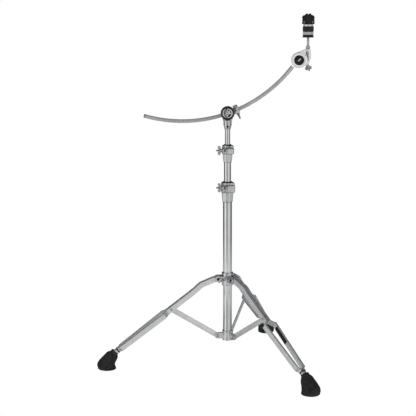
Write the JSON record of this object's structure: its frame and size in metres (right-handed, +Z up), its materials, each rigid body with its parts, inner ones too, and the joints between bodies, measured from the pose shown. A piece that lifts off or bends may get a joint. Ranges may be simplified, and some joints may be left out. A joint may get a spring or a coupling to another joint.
{
  "type": "cymbal boom stand",
  "caption": "Double-braced folding tripod stand with telescoping tubes, a curved boom arm, a tilter, and a felted cymbal seat under a quick-release nut.",
  "frame": {"origin": "on the floor, under the middle of the feet's bounding box", "axes": "+Z up along the post; the boom arm lies in the XZ plane and rises towards +X"},
  "size_m": [0.6915, 0.7325, 1.12],
  "materials": {
    "chrome": "polished chrome plate on steel",
    "satin_steel": "satin, finely knurled rod",
    "rubber": "dull moulded rubber with grooves",
    "black_plastic": "semi-matte moulded plastic",
    "nylon": "matte nylon",
    "grey_felt": "pressed wool felt",
    "black_felt": "pressed wool felt"
  },
  "bodies": {
    "leg_collar": {"leg_collar": "chrome"},
    "leg_collar_wing": {"leg_collar_wing_bolt": "chrome"},
    "leg_1": {"leg_1_left_rail": "chrome", "leg_1_right_rail": "chrome", "foot_1": "rubber", "leg_1_hinge_pin": "chrome", "leg_1_brace_rivet": "chrome"},
    "brace_1": {"brace_1": "chrome"},
    "leg_2": {"leg_2_left_rail": "chrome", "leg_2_right_rail": "chrome", "foot_2": "rubber", "leg_2_hinge_pin": "chrome", "leg_2_brace_rivet": "chrome"},
    "brace_2": {"brace_2": "chrome"},
    "leg_3": {"leg_3_left_rail": "chrome", "leg_3_right_rail": "chrome", "foot_3": "rubber", "leg_3_hinge_pin": "chrome", "leg_3_brace_rivet": "chrome"},
    "brace_3": {"brace_3": "chrome"},
    "base_tube": {"base_tube": "chrome", "base_tube_plug": "nylon", "brace_collar": "chrome", "brace_collar_rivet_1": "chrome", "brace_collar_rivet_2": "chrome", "brace_collar_rivet_3": "chrome", "lower_clamp": "chrome", "lower_clamp_bushing": "nylon"},
    "lower_wing": {"lower_clamp_wing_bolt": "chrome"},
    "lower_lock": {"lower_stop_lock": "chrome", "lower_stop_lock_insert": "nylon"},
    "middle_tube": {"middle_tube": "chrome", "upper_clamp": "chrome", "upper_clamp_bushing": "nylon"},
    "upper_wing": {"upper_clamp_wing_bolt": "chrome"},
    "upper_lock": {"upper_stop_lock": "chrome", "upper_stop_lock_insert": "nylon"},
    "upper_tube": {"upper_tube": "chrome", "boom_yoke": "chrome", "boom_yoke_screw": "black_plastic", "boom_ratchet_cap": "chrome", "boom_pivot_bolt": "chrome"},
    "boom_clamp": {"boom_clamp": "chrome", "boom_clamp_nut": "chrome"},
    "boom_wing": {"boom_clamp_wing_bolt": "chrome"},
    "boom_arm": {"boom_arm": "satin_steel", "boom_arm_end_cap": "black_plastic", "tilter_housing": "chrome"},
    "tilter": {"tilter_bracket": "chrome", "tilter_badge": "black_plastic", "cymbal_rod": "chrome", "cymbal_seat_cup": "black_plastic", "lower_felt": "grey_felt"},
    "tilter_wing": {"tilter_wing_bolt": "chrome"},
    "upper_stack": {"upper_felt": "black_felt", "cymbal_washer": "chrome"},
    "nut": {"quick_nut": "black_plastic"},
    "nut_left_lever": {"quick_nut_left_lever": "black_plastic"},
    "nut_right_lever": {"quick_nut_right_lever": "black_plastic"}
  },
  "joints": [
    {"name": "legs_fold", "type": "hinge", "parent": "leg_collar", "child": "leg_1", "pos_m": [0.04072, -0.03362, 0.283], "axis": [0.1461, -0.9893, 0], "range_deg": [-15, 46]},
    {"name": "leg_2_fold", "type": "hinge", "parent": "leg_collar", "child": "leg_2", "pos_m": [0.0929, -0.05428, 0.283], "axis": [0.7837, 0.6211, 0], "range_deg": [-15, 46]},
    {"name": "leg_3_fold", "type": "hinge", "parent": "leg_collar", "child": "leg_3", "pos_m": [0.0847, 0.00123, 0.283], "axis": [-0.9298, 0.3681, 0], "range_deg": [-15, 46]},
    {"name": "brace_1_swing", "type": "hinge", "parent": "leg_1", "child": "brace_1", "pos_m": [-0.10846, -0.05565, 0.1885], "axis": [0.1461, -0.9893, 0], "range_deg": [-92, 30]},
    {"name": "brace_2_swing", "type": "hinge", "parent": "leg_2", "child": "brace_2", "pos_m": [0.18657, -0.17246, 0.1885], "axis": [0.7837, 0.6211, 0], "range_deg": [-92, 30]},
    {"name": "brace_3_swing", "type": "hinge", "parent": "leg_3", "child": "brace_3", "pos_m": [0.14022, 0.14144, 0.1885], "axis": [-0.9298, 0.3681, 0], "range_deg": [-92, 30]},
    {"name": "tube_follows_brace", "type": "hinge", "parent": "brace_1", "child": "base_tube", "pos_m": [0.04072, -0.03362, 0.094], "axis": [0.1461, -0.9893, 0], "range_deg": [-15, 46]},
    {"name": "leg_collar_bolt_turn", "type": "hinge", "parent": "leg_collar", "child": "leg_collar_wing", "pos_m": [0.06357, -0.05214, 0.286], "axis": [-0.3681, -0.9298, 0], "continuous": true},
    {"name": "lower_bolt_turn", "type": "hinge", "parent": "base_tube", "child": "lower_wing", "pos_m": [0.05878, -0.04989, 0.58], "axis": [-1, 0, 0], "continuous": true},
    {"name": "lower_swivel", "type": "hinge", "parent": "base_tube", "child": "lower_lock", "pos_m": [0.07278, -0.02889, 0.59], "axis": [0, 0, 1], "continuous": true},
    {"name": "lower_height", "type": "slide", "parent": "lower_lock", "child": "middle_tube", "axis": [0, 0, 1], "range_m": [-0.05, 0.17]},
    {"name": "upper_bolt_turn", "type": "hinge", "parent": "middle_tube", "child": "upper_wing", "pos_m": [0.05878, -0.04989, 0.698], "axis": [-1, 0, 0], "continuous": true},
    {"name": "upper_swivel", "type": "hinge", "parent": "middle_tube", "child": "upper_lock", "pos_m": [0.07278, -0.02889, 0.706], "axis": [0, 0, 1], "continuous": true},
    {"name": "upper_height", "type": "slide", "parent": "upper_lock", "child": "upper_tube", "axis": [0, 0, 1], "range_m": [-0.04, 0.18]},
    {"name": "boom_tilt", "type": "hinge", "parent": "upper_tube", "child": "boom_clamp", "pos_m": [0.07278, -0.02889, 0.814], "axis": [0, -1, 0], "range_deg": [-30, 45]},
    {"name": "boom_bolt_turn", "type": "hinge", "parent": "boom_clamp", "child": "boom_wing", "pos_m": [0.10562, -0.01919, 0.81191], "axis": [0.3916, 0, -0.9201], "continuous": true},
    {"name": "boom_slide", "type": "hinge", "parent": "boom_clamp", "child": "boom_arm", "pos_m": [-0.06903, -0.00789, 1.2223], "axis": [0, -1, 0], "range_deg": [-20, 25]},
    {"name": "tilter_tilt", "type": "hinge", "parent": "boom_arm", "child": "tilter", "pos_m": [0.29528, -0.02889, 0.977], "axis": [0, -1, 0], "range_deg": [-50, 90]},
    {"name": "tilter_bolt_turn", "type": "hinge", "parent": "tilter", "child": "tilter_wing", "pos_m": [0.32148, -0.01289, 0.9628], "axis": [0.342, 0, -0.9397], "continuous": true},
    {"name": "upper_felt_lift", "type": "slide", "parent": "tilter", "child": "upper_stack", "axis": [0, 0, 1], "range_m": [0, 0.02]},
    {"name": "nut_turn", "type": "hinge", "parent": "upper_stack", "child": "nut", "pos_m": [0.32348, -0.01289, 1.1], "axis": [0, 0, 1], "continuous": true},
    {"name": "nut_left_squeeze", "type": "hinge", "parent": "nut", "child": "nut_left_lever", "pos_m": [0.30948, -0.01289, 1.103], "axis": [0, 1, 0], "range_deg": [0, 6], "stiffness_Nm_per_rad": 0.05},
    {"name": "nut_right_squeeze", "type": "hinge", "parent": "nut", "child": "nut_right_lever", "pos_m": [0.33748, -0.01289, 1.103], "axis": [0, 1, 0], "range_deg": [-6, 0]}
  ],
  "couplings": [
    {"joint": "leg_2_fold", "follows": "legs_fold", "ratio": 1},
    {"joint": "leg_3_fold", "follows": "legs_fold", "ratio": 1},
    {"joint": "brace_1_swing", "follows": "legs_fold", "ratio": -2},
    {"joint": "brace_2_swing", "follows": "legs_fold", "ratio": -2},
    {"joint": "brace_3_swing", "follows": "legs_fold", "ratio": -2},
    {"joint": "tube_follows_brace", "follows": "legs_fold", "ratio": 1},
    {"joint": "nut_right_squeeze", "follows": "nut_left_squeeze", "ratio": -1}
  ]
}
